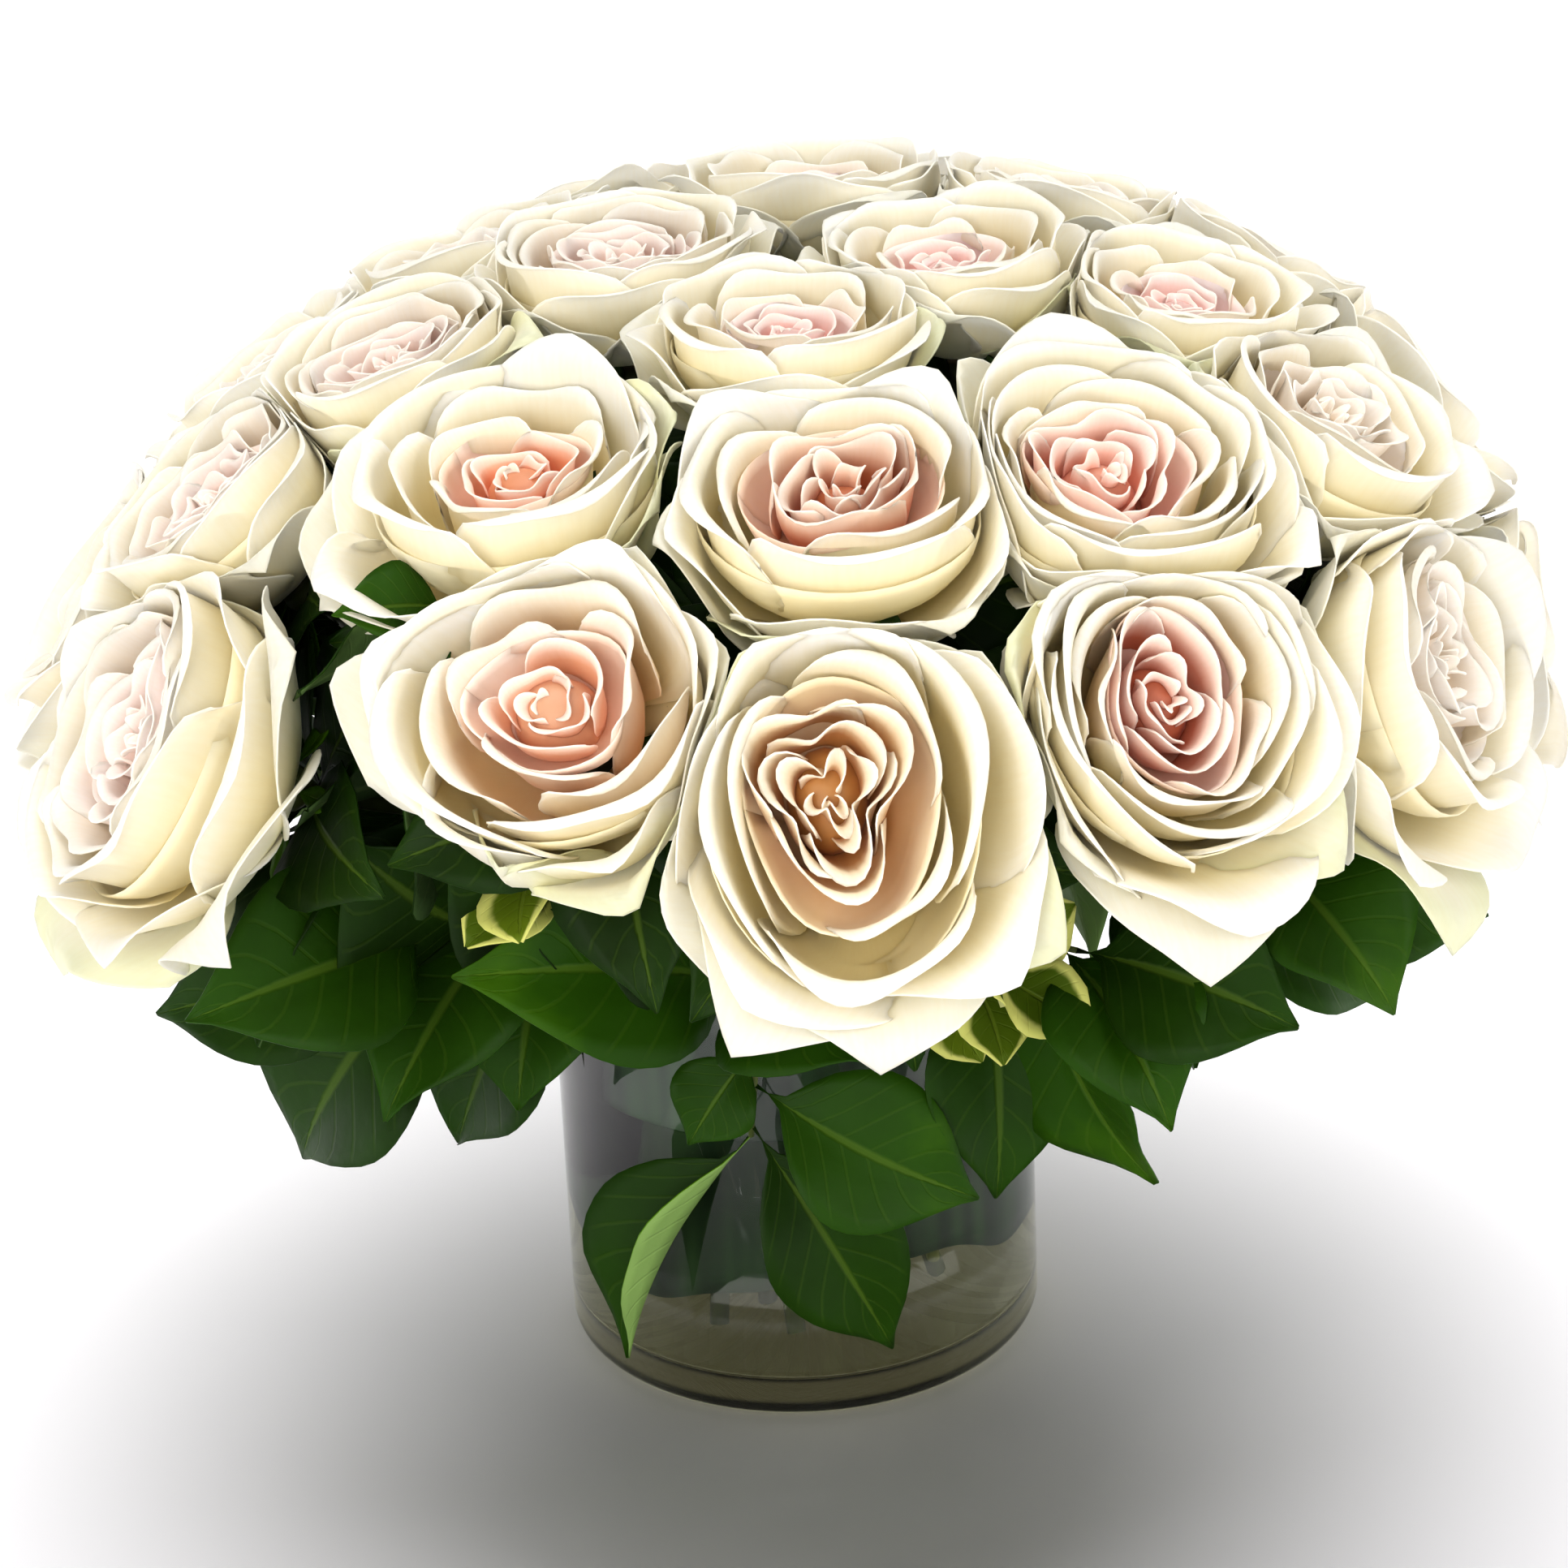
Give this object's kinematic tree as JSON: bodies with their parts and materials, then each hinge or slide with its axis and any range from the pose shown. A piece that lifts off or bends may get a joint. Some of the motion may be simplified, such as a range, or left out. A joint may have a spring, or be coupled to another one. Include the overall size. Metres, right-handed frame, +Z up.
{
  "type": "floral table centerpiece",
  "caption": "Low dome of open garden roses over a collar of broad leaves and edged sprigs, standing in a clear cylindrical glass vase with water and a leaf lining.",
  "frame": {"origin": "centre of the vase's flat foot, on the surface it stands on", "axes": "+Z up along the vase's axis; -Y towards the front of the arrangement; +X to its right seen from the front"},
  "size_m": [0.4815, 0.4802, 0.3688],
  "materials": {
    "glass": "clear, polished",
    "water": "clear, faintly tinted",
    "lining": "wet leaf, dark grey-green",
    "stems": "matte olive green",
    "petals": "satin cream white petals",
    "leaves": "satin deep green leaves",
    "edged_leaves": "satin green leaves with pale yellow edges"
  },
  "bodies": {
    "root": {"vase": "glass", "water": "water", "leaf_lining": "lining", "rose_stems": "stems", "rose_bloom_01": "petals", "rose_bloom_02": "petals", "rose_bloom_03": "petals", "rose_bloom_04": "petals", "rose_bloom_05": "petals", "rose_bloom_06": "petals", "rose_bloom_07": "petals", "rose_bloom_08": "petals", "rose_bloom_09": "petals", "rose_bloom_10": "petals", "rose_bloom_11": "petals", "rose_bloom_12": "petals", "rose_bloom_13": "petals", "rose_bloom_14": "petals", "rose_bloom_15": "petals", "rose_bloom_16": "petals", "rose_bloom_17": "petals", "rose_bloom_18": "petals", "rose_bloom_19": "petals", "rose_bloom_20": "petals", "rose_bloom_21": "petals", "rose_bloom_22": "petals", "rose_bloom_23": "petals", "rose_bloom_24": "petals", "rose_bloom_25": "petals", "rose_bloom_26": "petals", "rose_bloom_27": "petals", "rose_bloom_28": "petals", "rose_bloom_29": "petals", "rose_bloom_30": "petals", "rose_bloom_31": "petals", "leaf_spray_01": "leaves", "leaf_spray_02": "leaves", "leaf_spray_03": "leaves", "leaf_spray_04": "leaves", "leaf_spray_05": "leaves", "leaf_spray_06": "leaves", "leaf_spray_07": "leaves", "leaf_spray_08": "leaves", "leaf_spray_09": "leaves", "edged_sprig_01": "edged_leaves", "edged_sprig_02": "edged_leaves", "edged_sprig_03": "edged_leaves", "edged_sprig_04": "edged_leaves"}
  },
  "joints": []
}
